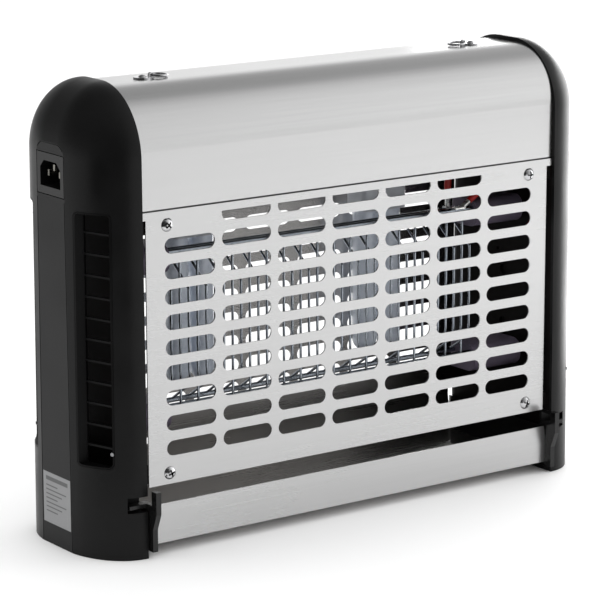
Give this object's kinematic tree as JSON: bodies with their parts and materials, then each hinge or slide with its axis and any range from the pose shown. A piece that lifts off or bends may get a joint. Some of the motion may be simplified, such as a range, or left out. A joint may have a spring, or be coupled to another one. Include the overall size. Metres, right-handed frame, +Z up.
{
  "type": "electric insect killer",
  "caption": "Long upright electric insect killer: rounded end caps, folded hood, slotted plates front and rear, wire grid, lamps and a pull-out tray.",
  "frame": {"origin": "on the floor under the middle of the bounding box, the tray's pull bars included", "axes": "+X along the length to the right, +Y to the back, +Z up; the tray pulls out along -Y"},
  "size_m": [0.411, 0.123, 0.3088],
  "materials": {
    "cap_plastic": "fine-textured black moulded plastic",
    "vent_plastic": "satin black moulded plastic",
    "panel_plastic": "matte black moulded plastic",
    "hood_metal": "satin silver coated sheet",
    "rail_metal": "satin silver coated sheet, folded",
    "plate_metal": "satin silver coated sheet, punched",
    "tray_metal": "satin silver coated sheet",
    "tray_end_plastic": "semi-gloss black moulded plastic",
    "screw_metal": "bright plated",
    "vent_screw_metal": "dark plated",
    "hanger_metal": "bright plated",
    "inlet_plastic": "semi-gloss black moulded plastic",
    "pin_metal": "nickel-plated brass",
    "label_film": "printed film, without its text",
    "grid_metal": "drawn steel wire",
    "insulator_plastic": "grey moulded plastic",
    "terminal_metal": "tinned crimp terminal",
    "lead_sleeve": "red insulated lead",
    "lamp_glass": "coated lamp glass, unlit",
    "lamp_base_plastic": "pale moulded plastic",
    "socket_plastic": "off-white moulded plastic",
    "shelf_metal": "coated sheet",
    "transformer_case": "potted block",
    "ballast_case": "pale coated case",
    "terminal_plastic": "pale moulded plastic"
  },
  "bodies": {
    "housing": {"left_end_cap": "cap_plastic", "right_end_cap": "cap_plastic", "left_front_vent": "vent_plastic", "left_rear_vent": "vent_plastic", "right_front_vent": "vent_plastic", "right_rear_vent": "vent_plastic", "left_inner_panel": "panel_plastic", "right_inner_panel": "panel_plastic", "hood": "hood_metal", "front_rail": "rail_metal", "rear_rail": "rail_metal", "front_grille": "plate_metal", "rear_grille": "plate_metal", "plate_screws": "screw_metal", "vent_screws": "vent_screw_metal", "left_hanger": "hanger_metal", "right_hanger": "hanger_metal", "inlet_body": "inlet_plastic", "inlet_pins": "pin_metal", "rating_label": "label_film", "front_grid": "grid_metal", "back_grid": "grid_metal", "left_upper_insulator": "insulator_plastic", "left_lower_insulator": "insulator_plastic", "right_upper_insulator": "insulator_plastic", "right_lower_insulator": "insulator_plastic", "front_terminal": "terminal_metal", "back_terminal": "terminal_metal", "front_lead": "lead_sleeve", "back_lead": "lead_sleeve", "left_lamp_tube": "lamp_glass", "right_lamp_tube": "lamp_glass", "left_lamp_base": "lamp_base_plastic", "right_lamp_base": "lamp_base_plastic", "left_lamp_socket": "socket_plastic", "right_lamp_socket": "socket_plastic", "electrics_shelf": "shelf_metal", "transformer": "transformer_case", "left_ballast": "ballast_case", "right_ballast": "ballast_case", "terminal_block": "terminal_plastic"},
    "tray": {"tray_pan": "tray_metal", "left_tray_end": "tray_end_plastic", "right_tray_end": "tray_end_plastic"},
    "left_ring": {"left_hanger_ring": "hanger_metal"},
    "right_ring": {"right_hanger_ring": "hanger_metal"}
  },
  "joints": [
    {"name": "tray_slide", "type": "slide", "parent": "housing", "child": "tray", "axis": [0, -1, 0], "range_m": [0, 0.11]},
    {"name": "left_ring_hinge", "type": "hinge", "parent": "housing", "child": "left_ring", "pos_m": [-0.1299, 0.0015, 0.307], "axis": [0, -1, 0], "range_deg": [0, 165]},
    {"name": "right_ring_hinge", "type": "hinge", "parent": "housing", "child": "right_ring", "pos_m": [0.1299, 0.0015, 0.307], "axis": [0, 1, 0], "range_deg": [0, 165]}
  ]
}
